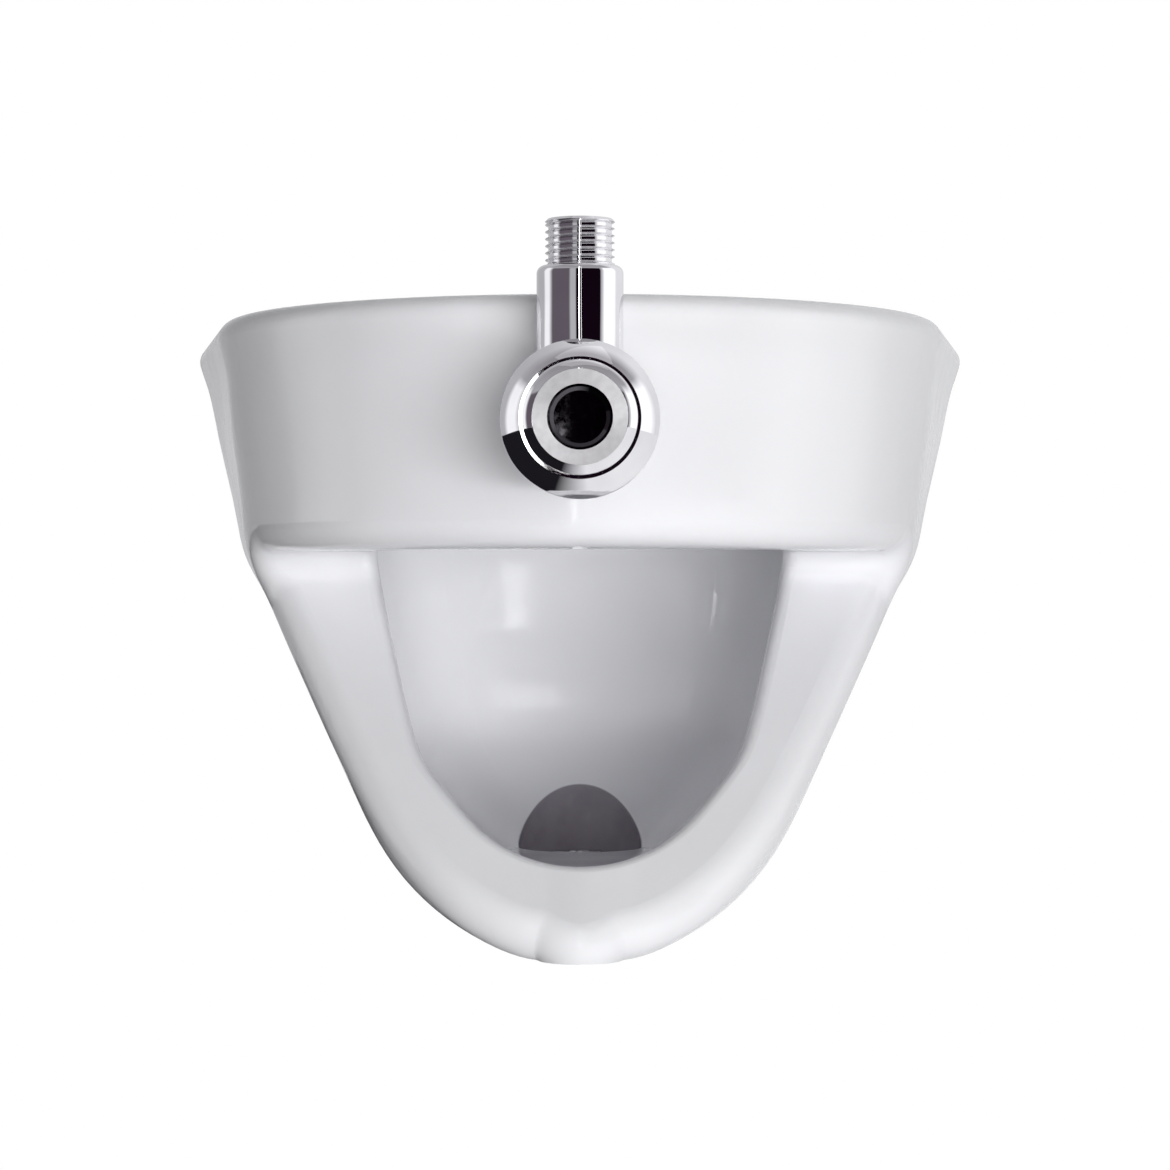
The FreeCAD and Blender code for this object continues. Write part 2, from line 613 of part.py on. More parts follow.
def valve_body():
    """Brass casting: chamber and spigot along the axis, threaded inlet neck standing on it."""
    body = valve_part("valve_body")
    turned_out(body, "outside", [
        ("0", "-spigot_back"), ("spigot_radius", "-spigot_back"), ("spigot_radius", "-chamber_back"),
        ("chamber_radius", "-chamber_back"), ("chamber_radius", "chamber_front"), ("0", "chamber_front"),
    ])
    neck = sketch_on(body, "XY_Plane", "neck")
    draw_circle(neck, "neck_radius")
    pad(body, neck, "neck_up")
    round_edges(body, "shoulder", "neck_roll", at_height("neck_radius", "neck_up"))
    thread = sketch_on(body, "XY_Plane", "thread", "neck_up - neck_roll")
    draw_circle(thread, "thread_radius")
    pad(body, thread, "thread_long + neck_roll")
    top = "neck_up + thread_long"
    round_edges(body, "thread_lead", "thread_chamfer", at_height("thread_radius", top), kind="Chamfer")
    turned_out(body, "bore", [
        ("0", "chamber_front"), ("chamber_bore", "chamber_front"), ("chamber_bore", "-chamber_floor"),
        ("seat_pocket_radius", "-chamber_floor"),
        ("seat_pocket_radius", "-chamber_floor - seat_thick"),
        ("spigot_bore", "-chamber_floor - seat_thick"), ("spigot_bore", "-spigot_back"),
        ("0", "-spigot_back"),
    ], cut=True)
    inlet = sketch_on(body, "XY_Plane", "inlet", top)
    draw_circle(inlet, "inlet_bore")
    pocket(body, inlet, top)
    seat = sketch_on(body, "XY_Plane", "filter_seat", top)
    draw_circle(seat, "filter_seat_radius")
    pocket(body, seat, "filter_seat_deep")
    return body


def inlet_filter():
    """Thin cup with a flange, holes round its side."""
    body = valve_part("inlet_filter")
    top = "neck_up + thread_long - filter_seat_deep"
    flange_top = f"{top} + filter_flange_thick"
    cup = "(inlet_bore - slip_gap)"
    turned_up(body, "cup", [
        ("0", f"{top} - filter_long"), (cup, f"{top} - filter_long"), (cup, top),
        ("filter_seat_radius - slip_gap", top), ("filter_seat_radius - slip_gap", flange_top),
        (f"{cup} - filter_wall", flange_top), (f"{cup} - filter_wall", f"{top} - filter_long + filter_wall"),
        ("0", f"{top} - filter_long + filter_wall"),
    ])
    holes = sketch_on(body, "XY_Plane", "holes", f"{top} - filter_long + filter_wall")
    draw_circle(holes, "filter_hole")
    for count in range(FILTER_ROUND):
        angle = f"{count * 360 / FILTER_ROUND}"
        draw_circle(holes, "filter_hole", f"filter_ring * cos({angle})", f"filter_ring * sin({angle})")
    pocket(body, holes, "2 * filter_wall")
    return body


def ring_out(label, inner, outer, back, front):
    """A plain ring about the valve's axis."""
    body = valve_part(label)
    turned_out(body, "ring", [(inner, back), (outer, back), (outer, front), (inner, front)])
    return body


def china_side_rings():
    """Escutcheon, its gasket and the rubber cuff in the china's inlet hole."""
    pad_at = "pad_out - valve_out"
    gasket_front = f"{pad_at} + gasket_thick"
    ring_out("escutcheon_gasket", "spigot_radius + slip_gap", "gasket_radius", pad_at, gasket_front)
    plate = ring_out("escutcheon", "spigot_radius + slip_gap", "escutcheon_radius", gasket_front,
                     "-chamber_back")
    round_edges(plate, "edge", "thread_chamfer", at_radius("escutcheon_radius", "-chamber_back"))
    cuff = valve_part("inlet_cuff")
    # the channel's wall curves away from the hole's axis, so the bead lies behind it at its own radius
    centre_out = CHANNEL_CENTRE_OUT
    bead = "(inlet_hole_radius + cuff_lip)"
    hole_back = f"{centre_out} + sqrt((channel_out - {centre_out})^2 - {bead}^2) - valve_out"
    turned_out(cuff, "sleeve", [
        ("spigot_radius + thread_gap", pad_at), ("inlet_hole_radius - thread_gap", pad_at),
        ("inlet_hole_radius - thread_gap", f"{hole_back} - seat_gap"),
        (bead, f"{hole_back} - seat_gap"),
        (bead, f"{hole_back} - seat_gap - cuff_bead"),
        ("spigot_radius + thread_gap", f"{hole_back} - seat_gap - cuff_bead"),
    ])


def bonnet():
    """Bell shaped head that screws over the chamber and guides the stem and the button."""
    body = valve_part("bonnet")
    web_back = "chamber_front + seal_thick"
    web_front = f"{web_back} + bonnet_web"
    bore = "button_radius + running_gap"
    stem_bore = "stem_radius + running_gap"
    turned_out(body, "bell", [
        ("chamber_radius + thread_gap", "bonnet_back"), ("bonnet_radius", "bonnet_back"),
        ("bonnet_radius", "bonnet_straight"), (f"{bore} + bonnet_lip_wide", "bonnet_lip_out"),
        (bore, "bonnet_lip_out"), (bore, web_front),
        ("hub_radius", web_front), ("hub_radius", f"{web_front} + hub_proud"),
        (stem_bore, f"{web_front} + hub_proud"), (stem_bore, f"{web_back} + gland_deep"),
        ("gland_radius", f"{web_back} + gland_deep"), ("gland_radius", web_back),
        ("chamber_radius + thread_gap", web_back),
    ], arcs={BONNET_DOME: "bonnet_dome"})
    round_edges(body, "heel", "neck_roll / 2", at_radius("bonnet_radius", "bonnet_straight"))
    round_edges(body, "back", "thread_chamfer", at_radius("bonnet_radius", "bonnet_back"))
    return body


def push_button():
    """Cap with a skirt in the bonnet, a boss on the stem, a dished face and a groove for the insert."""
    body = valve_part("push_button")
    back = "chamber_front + seal_thick + bonnet_web + button_travel + seat_gap"
    face_back = "button_front - button_face"
    boss_back = f"{back} + hub_proud"
    hole = "stem_radius + thread_gap"
    turned_out(body, "cap", [
        ("button_radius - button_skirt", back), ("button_radius", back), ("button_radius", "button_rim"),
        ("insert_outer + thread_gap", "button_front"),
        ("insert_outer + thread_gap", "button_front - insert_sunk"),
        ("insert_inner - thread_gap", "button_front - insert_sunk"),
        ("insert_inner - thread_gap", "button_front"),
        ("dish_radius", "button_front"), ("dish_floor_radius", "button_front - dish_deep"),
        ("0", "button_front - dish_deep"), ("0", face_back), (hole, face_back),
        (hole, boss_back), ("button_boss", boss_back), ("button_boss", face_back),
        ("button_radius - button_skirt", face_back),
    ], arcs={BUTTON_DOME: "button_dome"})
    round_edges(body, "rim", "button_roll", at_radius("button_radius", "button_rim"))
    return body


def button_insert():
    """Flat ring let into the button's face, with a row of short raised bars on it."""
    body = valve_part("button_insert")
    front = "button_front + insert_proud"
    turned_out(body, "ring", [
        ("insert_inner", "button_front - insert_sunk"), ("insert_outer", "button_front - insert_sunk"),
        ("insert_outer", front), ("insert_inner", front),
    ])
    marks = sketch_on(body, "XZ_Plane", "marks", front)
    for count in range(MARKS_ROUND):
        angle = f"{count * 360 / MARKS_ROUND}"
        corners = []
        for along, across in ((-1, -1), (1, -1), (1, 1), (-1, 1)):
            radial = f"(mark_radius + {along} * mark_long / 2)"
            sideways = f"({across} * mark_wide / 2)"
            corners.append((
                f"{radial} * cos({angle}) - {sideways} * sin({angle})",
                f"{radial} * sin({angle}) + {sideways} * cos({angle})",
            ))
        draw_outline(marks, corners)
    pad(body, marks, "mark_high")
    return body


def stem():
    """Spindle from the button to the valve disc, with a collar for the return spring."""
    body = valve_part("stem")
    shoulder = "-chamber_floor - seat_thick - seat_gap"
    collar_front = "chamber_front + seal_thick - seat_gap"
    tail = f"{shoulder} - washer_thick - disc_thick - nut_thick - thread_chamfer"
    tip = "button_front - button_face - thread_gap"
    turned_out(body, "spindle", [
        ("0", tail), ("stem_tip_radius", tail), ("stem_tip_radius", shoulder), ("stem_radius", shoulder),
        ("stem_radius", f"{collar_front} - collar_thick"), ("collar_rim", f"{collar_front} - collar_thick"),
        ("collar_rim", collar_front), ("stem_radius", collar_front), ("stem_radius", tip), ("0", tip),
    ])
    return body


def disc_stack():
    """Rubber washer, brass disc and nut on the stem's tail, closing against the seat from behind."""
    shoulder = "-chamber_floor - seat_thick - seat_gap"
    bore = "stem_tip_radius + thread_gap"
    washer_back = f"{shoulder} - washer_thick"
    disc_back = f"{washer_back} - disc_thick"
    ring_out("disc_washer", bore, "washer_radius", washer_back, shoulder)
    disc = ring_out("valve_disc", bore, "washer_radius", disc_back, washer_back)
    round_edges(disc, "edge", "thread_chamfer", at_radius("washer_radius", disc_back), kind="Chamfer")
    nut = valve_part("disc_nut")
    hexagon = sketch_on(nut, "XZ_Plane", "hexagon", disc_back)
    draw_hexagon(hexagon, "nut_half")
    draw_circle(hexagon, bore)
    pad(nut, hexagon, "nut_thick", backwards=True)


def draw_hexagon(sketch, half_flats, across="0", along="0"):
    """A hexagon given by half its width across flats."""
    corners = []
    for count in range(6):
        angle = f"{30 + 60 * count}"
        corners.append((
            f"{across} + {half_flats} / cos(30) * cos({angle})",
            f"{along} + {half_flats} / cos(30) * sin({angle})",
        ))
    draw_outline(sketch, corners)


def cartridge_sleeve():
    """Plastic sleeve that presses on the seat and guides the stem, with windows for the water."""
    body = valve_part("cartridge_sleeve")
    outer = "chamber_bore - running_gap"
    inner = f"{outer} - sleeve_wall"
    turned_out(body, "sleeve", [
        (inner, "-chamber_floor"), (outer, "-chamber_floor"), (outer, "sleeve_front"),
        ("stem_radius + running_gap", "sleeve_front"),
        ("stem_radius + running_gap", "sleeve_front - guide_thick"),
        (inner, "sleeve_front - guide_thick"),
    ])
    window = sketch_on(body, "XY_Plane", "window")
    draw_outline(window, [
        ("-window_half", "-(sleeve_front - guide_thick)"), ("window_half", "-(sleeve_front - guide_thick)"),
        ("window_half", "window_half"), ("-window_half", "window_half"),
    ])
    pocket(body, window, "4 * chamber_bore", midplane=True)
    return body


def return_spring():
    """Helical spring between the sleeve's guide and the stem's collar."""
    low = number("sleeve_front")
    high = number("chamber_front + seal_thick - seat_gap - collar_thick")
    wire = number("spring_wire") / 2
    radius = number("spring_radius")
    length = high - low - 2 * wire
    helix = Part.makeHelix(length / SPRING_TURNS, length, radius)
    start = FreeCAD.Vector(radius, 0, 0)
    section = Part.Wire(Part.Circle(start, FreeCAD.Vector(0, 1, 0), wire).toShape())
    coil = Part.Wire(helix.Edges).makePipeShell([section], True, True)
    coil.rotate(FreeCAD.Vector(0, 0, 0), FreeCAD.Vector(1, 0, 0), 90)
    feature = doc.addObject("Part::Feature", "return_spring")
    feature.Label = "return_spring"
    feature.Shape = coil
    lift = number("valve_out") + low + wire
    feature.Placement = FreeCAD.Placement(
        FreeCAD.Vector(0, -lift, number("valve_up")), FreeCAD.Rotation(FreeCAD.Vector(1, 0, 0), 90))
    parts.append(feature)


def stem_seal():
    """Rubber ring in the bonnet's gland."""
    body = valve_part("stem_seal")
    sketch = sketch_on(body, "XY_Plane", "section")
    minor = "(gland_radius - stem_radius - thread_gap) / 2 - running_gap / 2"
    middle = "(gland_radius + stem_radius + thread_gap) / 2"
    draw_circle(sketch, minor, middle, "-(chamber_front + seal_thick + gland_deep / 2)")
    turn(body, sketch)


# ---------------------------------------------------------------- waste

NUT_LOW = "-collar_down - lower_gasket_thick - slip_washer_thick - locknut_thick"


def waste_part(label):
    return sub_part(label, out="sump_out")


def ring_up(label, inner, outer, low, high):
    """A plain ring about the drain's axis."""
    body = waste_part(label)
    turned_up(body, "ring", [(inner, low), (outer, low), (outer, high), (inner, high)])
    return body


def waste_body():
    """Flanged tail with a threaded outside and a cross bar for the strainer's screw."""
    body = waste_part("waste_body")
    under = "-sump_down + upper_gasket_thick"
    top = f"{under} + flange_thick"
    turned_up(body, "tail", [
        ("waste_bore", "-waste_end"), ("tail_radius", "-waste_end"), ("tail_radius", NUT_LOW),
        ("waste_radius", NUT_LOW), ("waste_radius", under),
        ("waste_flange", under), ("waste_flange", top), ("strainer_radius + slip_gap", top),
        ("strainer_radius + slip_gap", f"{top} - strainer_thick"),
        ("waste_bore", f"{top} - strainer_thick"),
    ])
    bar = sketch_on(body, "XY_Plane", "bar", f"{under} - cross_drop")
    draw_outline(bar, [
        ("-waste_bore - cross_root", "-cross_wide / 2"), ("waste_bore + cross_root", "-cross_wide / 2"),
        ("waste_bore + cross_root", "cross_wide / 2"), ("-waste_bore - cross_root", "cross_wide / 2"),
    ])
    pad(body, bar, "cross_thick")
    hole = sketch_on(body, "XY_Plane", "screw_hole", f"{under} - cross_drop + cross_thick")
    draw_circle(hole, "screw_radius + thread_gap")
    pocket(body, hole, "cross_thick")
    round_edges(body, "tail_lead", "thread_chamfer", at_height("tail_radius", "-waste_end"), kind="Chamfer")
    return body


def strainer():
    """Round plate with a hole for its screw and a ring of drain holes."""
    body = waste_part("strainer")
    low = "-sump_down + upper_gasket_thick + flange_thick - strainer_thick"
    plate = sketch_on(body, "XY_Plane", "plate", low)
    draw_circle(plate, "strainer_radius")
    draw_circle(plate, "screw_radius + slip_gap")
    for ring, count_round in (("inner_ring", STRAINER_ROUND), ("outer_ring", 2 * STRAINER_ROUND)):
        for count in range(count_round):
            angle = f"{count * 360 / count_round}"
            draw_circle(plate, "strainer_hole", f"{ring} * cos({angle})", f"{ring} * sin({angle})")
    pad(body, plate, "strainer_thick")
    return body


def strainer_screw():
    """Pan head screw that holds the strainer to the cross bar."""
    body = waste_part("strainer_screw")
    under_head = "-sump_down + upper_gasket_thick + flange_thick"
    end = "-sump_down + upper_gasket_thick - cross_drop"
    turned_up(body, "screw", [
        ("0", end), ("screw_radius", end), ("screw_radius", under_head), ("screw_head", under_head),
        ("screw_head", f"{under_head} + screw_head_high"), ("0", f"{under_head} + screw_head_high"),
    ])
    round_edges(body, "head", "thread_chamfer", at_height("screw_head", f"{under_head} + screw_head_high"))
    return body


def waste_fixings():
    """Gaskets, slip washer and locknut that clamp the waste to the china."""
    bore = "waste_radius + slip_gap"
    ring_up("upper_gasket", bore, "waste_flange", "-sump_down", "-sump_down + upper_gasket_thick")
    gasket_low = "-collar_down - lower_gasket_thick"
    washer_low = f"{gasket_low} - slip_washer_thick"
    ring_up("lower_gasket", bore, "lower_gasket_radius", gasket_low, "-collar_down")
    ring_up("slip_washer", bore, "slip_washer_radius", washer_low, gasket_low)
    nut = waste_part("locknut")
    hexagon = sketch_on(nut, "XY_Plane", "hexagon", washer_low)
    draw_hexagon(hexagon, "locknut_flats / 2")
    draw_circle(hexagon, "waste_radius + thread_gap")
    pad(nut, hexagon, "locknut_thick", backwards=True)


def build():
    china_bowl()
    hanger("hanger_left", "-")
    hanger("hanger_right", "")
    valve_body()
    inlet_filter()
    china_side_rings()
    bonnet()
    ring_out("bonnet_seal", "chamber_bore + seal_thick", "chamber_radius - slip_gap",
             "chamber_front", "chamber_front + seal_thick")
    stem_seal()
    cartridge_sleeve()
    ring_out("seat_ring", "seat_bore", "seat_pocket_radius - thread_gap",
             "-chamber_floor - seat_thick", "-chamber_floor")
    disc_stack()
    stem()
    return_spring()
    push_button()
    button_insert()
    waste_body()
    strainer()
    strainer_screw()
    waste_fixings()
    doc.recompute()


def check_and_write():
    """Stops on any failed object or bad shape, then writes one STEP file for each sub-part."""
    for item in doc.Objects:
        if {"Invalid", "Error"} & set(item.State):
            raise RuntimeError(f"{item.Name} is {item.State}")
    for part in parts:
        if part.Shape.isNull() or not part.Shape.isValid() or not part.Shape.Solids:
            raise RuntimeError(f"{part.Label} has no sound shape")
    os.makedirs("parts", exist_ok=True)
    for part in parts:
        part.Shape.exportStep(f"parts/{part.Label}.step")
        print(f"{part.Label:20s} {len(part.Shape.Solids)} solid {part.Shape.Volume / 1000:10.2f} cm3")


build()
check_and_write()
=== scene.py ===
import json
import math

import bmesh
import bpy
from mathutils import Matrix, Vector

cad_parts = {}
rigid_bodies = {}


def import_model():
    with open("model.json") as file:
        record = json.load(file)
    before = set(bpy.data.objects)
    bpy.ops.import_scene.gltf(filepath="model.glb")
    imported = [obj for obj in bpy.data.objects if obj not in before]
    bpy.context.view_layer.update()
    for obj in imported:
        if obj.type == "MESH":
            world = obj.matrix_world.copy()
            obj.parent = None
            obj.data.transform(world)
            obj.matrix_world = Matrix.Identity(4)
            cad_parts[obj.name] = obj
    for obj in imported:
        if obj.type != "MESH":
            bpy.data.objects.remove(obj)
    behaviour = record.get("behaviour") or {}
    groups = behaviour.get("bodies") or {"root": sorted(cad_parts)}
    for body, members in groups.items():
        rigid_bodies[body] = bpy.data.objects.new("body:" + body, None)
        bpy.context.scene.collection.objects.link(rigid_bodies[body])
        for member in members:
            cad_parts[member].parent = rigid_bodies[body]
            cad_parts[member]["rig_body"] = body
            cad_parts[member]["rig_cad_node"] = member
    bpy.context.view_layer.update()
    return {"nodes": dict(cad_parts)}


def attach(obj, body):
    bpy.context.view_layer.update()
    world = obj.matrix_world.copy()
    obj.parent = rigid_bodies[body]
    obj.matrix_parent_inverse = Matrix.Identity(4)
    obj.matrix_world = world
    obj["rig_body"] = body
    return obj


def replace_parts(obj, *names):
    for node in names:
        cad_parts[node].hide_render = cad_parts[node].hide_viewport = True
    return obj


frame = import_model()
nodes = frame["nodes"]

# The photograph's view: level, square on, 1.5 m from the wall and 52 mm below
# the hanger screws.
CAMERA_OUT = 1.5
CAMERA_UP = -0.052
FOCAL_PIXELS = 3202
PHOTO_PIXELS = 1170
SENSOR = 36.0
# the part's middle stands this many pixels left of the picture's
AXIS_LEFT = 5

# The sump under the basin, whose wall gets painted shade: its axis from the wall,
# its radius, and the depths between which the painted shade sets in
SUMP_OUT = 0.082
SUMP_RADIUS = 0.027
SUMP_SHADE_TOP, SUMP_SHADE_FULL = 0.118, 0.122
GLAZE_IOR = 1.52

# The button's dish, coloured near-black as a painted reflection of the dark room ahead:
# the height of its axis, its radius, and how far from the wall it lies
BUTTON_UP = 0.009
DISH_RADIUS = 0.0122
DISH_OUT_FROM, DISH_OUT_FULL = 0.300, 0.310
DISH_PAINTED_DARK = (0.10, 0.095, 0.105)

# Flush valve body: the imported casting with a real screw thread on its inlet
THREAD_RADIUS = 0.01322
THREAD_DEPTH = 0.00125
THREAD_PITCH = 0.00265
THREAD_LOW, THREAD_HIGH = 0.0680, 0.0845
THREAD_FADE = 0.35
THREAD_AROUND, THREAD_ROWS = 128, 132
GROOVE_PEAK, GROOVE_FALL = 1.7, 3.2
VALVE_OUT = 0.296
ON_THREAD, PAST_THREAD = 3e-5, 2e-4

# Windows of the room that only shiny surfaces show sharply. Angles are in degrees
# from straight ahead; heights and edges are in the unit sphere's own measure.
# dark: from, to, edge, shade
DARK_WINDOWS = (
    (-84, -24, 0.10, (0.13, 0.11, 0.135)),
    (-12, 58, 0.05, (0.006, 0.002, 0.006)),
)
DARK_BOTTOM, DARK_TOP, DARK_EDGE = -0.62, 0.50, 0.05
# pale: from, to, bottom, top, edge, shade
PALE_WINDOWS = (
    (60, 112, -0.50, 0.62, 0.16, (1.25, 1.25, 1.27)),
    (-112, -84, -0.36, 0.60, 0.12, (1.05, 1.05, 1.07)),
)
WHITE = (1.0, 1.0, 1.0)
BLACK = (0.0, 0.0, 0.0)
# the share of the room's brightness that also lights matt surfaces
FILL = 0.08

FLOOR_HALF = 4.0
FLOOR_LEVEL = -0.62

# Lights: name, place, aim, width, height, watts, seen by matt and by shiny surfaces
MIDDLE = (0.0, -0.12, -0.08)
LIGHTS = (
    ("front", (1.30, -3.8, 0.30), MIDDLE, 2.6, 1.8, 50.0, True, False),
    ("front_low", (1.0, -3.6, -0.45), MIDDLE, 2.6, 0.32, 60.0, True, False),
    ("fill", (-2.1, -3.4, 0.30), MIDDLE, 2.4, 1.8, 15.0, True, False),
    ("top", (0.1, -0.3, 1.5), MIDDLE, 1.2, 0.8, 0.5, True, True),
    ("behind", (0.5, 2.0, 1.6), MIDDLE, 1.6, 1.6, 52.0, True, False),
    ("left_tube", (-0.059, -1.9, 1.1), (-0.059, 0.0, 1.1), 0.055, 3.2, 2.6, False, True),
    ("right_tube", (0.100, -1.9, 1.1), (0.100, 0.0, 1.1), 0.040, 3.2, 0.5, False, True),
)


def material(name):
    made = bpy.data.materials.new(name)
    made.use_nodes = True
    tree = made.node_tree
    return made, tree, tree.nodes["Principled BSDF"]


def place(tree, kind, **settings):
    """A new shader node with its settings and the constants of its sockets."""
    node = tree.nodes.new(kind)
    for key, value in settings.items():
        if hasattr(node, key):
            setattr(node, key, value)
        else:
            node.inputs[key.replace("_", " ").capitalize()].default_value = value
    return node


def object_point(tree):
    return place(tree, "ShaderNodeTexCoord").outputs["Object"]


def split(tree, point):
    """The X, Y and Z of a point."""
    node = place(tree, "ShaderNodeSeparateXYZ")
    tree.links.new(point, node.inputs[0])
    return node.outputs


def noise(tree, scale, detail=2.0, roughness=0.5, stretch=None):
    grain = place(tree, "ShaderNodeTexNoise", scale=scale, detail=detail, roughness=roughness)
    point = object_point(tree)
    if stretch:
        mapping = place(tree, "ShaderNodeMapping")
        mapping.inputs["Scale"].default_value = stretch
        tree.links.new(point, mapping.inputs["Vector"])
        point = mapping.outputs["Vector"]
    tree.links.new(point, grain.inputs["Vector"])
    return grain.outputs["Fac"]


def ramp(tree, source, stops):
    """Colours or greys by a 0 to 1 value."""
    node = place(tree, "ShaderNodeValToRGB")
    cells = node.color_ramp.elements
    while len(cells) < len(stops):
        cells.new(0.5)
    for cell, (at, shade) in zip(cells, stops):
        cell.position = at
        cell.color = (*shade, 1.0) if isinstance(shade, tuple) else (shade, shade, shade, 1.0)
    tree.links.new(source, node.inputs["Fac"])
    return node.outputs["Color"]


def bump(tree, height, strength, distance, below=None):
    node = place(tree, "ShaderNodeBump", strength=strength, distance=distance)
    tree.links.new(height, node.inputs["Height"])
    if below is not None:
        tree.links.new(below, node.inputs["Normal"])
    return node.outputs["Normal"]


def sums(tree, operation, first, second):
    node = place(tree, "ShaderNodeMath", operation=operation)
    for socket, value in zip(node.inputs, (first, second)):
        if isinstance(value, (int, float)):
            socket.default_value = value
        else:
            tree.links.new(value, socket)
    return node.outputs[0]


def centred(tree, value, scale=0.5):
    """The value times scale, moved to lie round 0.5 for a ramp."""
    return sums(tree, "MULTIPLY_ADD", value, scale)


def distance(tree, first, second):
    squares = [sums(tree, "MULTIPLY", side, side) for side in (first, second)]
    return sums(tree, "SQRT", sums(tree, "ADD", *squares), 0.0)


def mixed(tree, share, first, second):
    node = place(tree, "ShaderNodeMix", data_type="RGBA")
    if isinstance(share, float):
        node.inputs["Factor"].default_value = share
    else:
        tree.links.new(share, node.inputs["Factor"])
    for socket, value in ((node.inputs[6], first), (node.inputs[7], second)):
        if isinstance(value, tuple):
            socket.default_value = (*value, 1.0)
        else:
            tree.links.new(value, socket)
    return node.outputs[2]


def blended(tree, share, first, second):
    """Two shaders mixed by a share."""
    node = place(tree, "ShaderNodeMixShader")
    for socket, value in zip(node.inputs, (share, first, second)):
        tree.links.new(value, socket)
    return node.outputs[0]


def dress(tree, shader, shade, gloss, skin=None, metallic=0.0):
    """Joins the colour, the roughness and the bumps to the shader."""
    tree.links.new(shade, shader.inputs["Base Color"])
    tree.links.new(gloss, shader.inputs["Roughness"])
    if skin is not None:
        tree.links.new(skin, shader.inputs["Normal"])
    shader.inputs["Metallic"].default_value = metallic


def glazed_ceramic():
    """White vitreous china: a glossy, slightly wavy glaze, with painted shade on the sump's
    wall, and bare biscuit where it rests on the wall."""
    made, tree, shader = material("glazed_ceramic")
    cloud = noise(tree, 9.0, 3.0, 0.45)
    tint = ramp(tree, cloud, [(0.32, (0.880, 0.882, 0.910)), (0.68, (0.920, 0.922, 0.943))])
    across, out, up = split(tree, object_point(tree))
    ragged = sums(tree, "MULTIPLY", noise(tree, 140.0, 2.0), 0.0022)
    depth = sums(tree, "ADD", out, ragged)
    bare = ramp(tree, centred(tree, depth, 400.0), [(0.42, 0.0), (0.52, 1.0)])
    grit = noise(tree, 500.0, 3.0, 0.6)
    biscuit = ramp(tree, grit, [(0.3, (0.60, 0.575, 0.53)), (0.7, (0.72, 0.70, 0.655))])
    # Painted shade: the sump's wall is coloured dark purple-grey to stand for the shade deep
    # in that recess.
    sump_shade_mottle = noise(tree, 60.0, 3.0, 0.6)
    tarnish_and_painted_shade = ramp(tree, sump_shade_mottle, [(0.3, (0.30, 0.27, 0.31)), (0.7, (0.36, 0.33, 0.37))])
    off_axis = distance(tree, across, sums(tree, "ADD", out, SUMP_OUT))
    from_axis = sums(tree, "DIVIDE", off_axis, 2 * SUMP_RADIUS)
    in_sump = ramp(tree, from_axis, [(0.503, 1.0), (0.512, 0.0)])
    down = sums(tree, "MULTIPLY", up, -1.0)
    below = ramp(tree, down, [(SUMP_SHADE_TOP, 0.0), (SUMP_SHADE_FULL, 1.0)])
    glaze_with_painted_shade = mixed(tree, sums(tree, "MULTIPLY", in_sump, below), tint, tarnish_and_painted_shade)
    gloss = ramp(tree, noise(tree, 30.0, 2.0), [(0.3, 0.06), (0.7, 0.105)])
    rough = mixed(tree, bare, gloss, (0.62, 0.62, 0.62))
    waves = bump(tree, noise(tree, 17.0, 1.0, 0.3), 0.10, 0.012)
    peel = bump(tree, noise(tree, 150.0, 1.5, 0.4), 0.035, 0.0012, waves)
    dress(tree, shader, mixed(tree, bare, glaze_with_painted_shade, biscuit), rough, peel)
    shader.inputs["IOR"].default_value = GLAZE_IOR
    return made


def chrome():
    """Polished chrome plate, with faint waviness and light wear, and a painted dark
    reflection in the button's dish."""
    made, tree, shader = material("polished_chrome")
    cloud = noise(tree, 60.0, 2.0)
    shade = ramp(tree, cloud, [(0.3, (0.80, 0.79, 0.81)), (0.7, (0.88, 0.875, 0.89))])
    across, out, up = split(tree, object_point(tree))
    # Painted reflection: the dish is coloured near-black to stand for the dark room mirrored
    # in it.
    off_axis = distance(tree, across, sums(tree, "SUBTRACT", up, BUTTON_UP))
    from_axis = sums(tree, "DIVIDE", off_axis, 2 * DISH_RADIUS)
    in_dish = ramp(tree, from_axis, [(0.48, 1.0), (0.50, 0.0)])
    forward = sums(tree, "MULTIPLY", out, -1.0)
    in_front = ramp(tree, forward, [(DISH_OUT_FROM, 0.0), (DISH_OUT_FULL, 1.0)])
    chrome_with_painted_dark_dish = mixed(tree, sums(tree, "MULTIPLY", in_dish, in_front), shade, DISH_PAINTED_DARK)
    gloss = ramp(tree, noise(tree, 420.0, 3.0, 0.6), [(0.35, 0.015), (0.75, 0.045)])
    waves = bump(tree, noise(tree, 55.0, 1.0, 0.3), 0.07, 0.0022)
    dress(tree, shader, chrome_with_painted_dark_dish, gloss, waves, 1.0)
    return made


def satin_chrome():
    """The button's ring: chrome over the fine rings of the lathe, which fan its reflections
    out, and partly matt."""
    made, tree, shader = material("satin_chrome")
    cloud = noise(tree, 300.0, 2.0)
    shade = ramp(tree, cloud, [(0.3, (0.80, 0.79, 0.81)), (0.7, (0.90, 0.895, 0.91))])
    gloss = ramp(tree, noise(tree, 500.0, 2.0), [(0.3, 0.40), (0.7, 0.50)])
    dress(tree, shader, shade, gloss, metallic=0.6)
    along = place(tree, "ShaderNodeTangent", direction_type="RADIAL", axis="Y")
    tree.links.new(along.outputs["Tangent"], shader.inputs["Tangent"])
    shader.inputs["Anisotropic"].default_value = 0.9
    return made


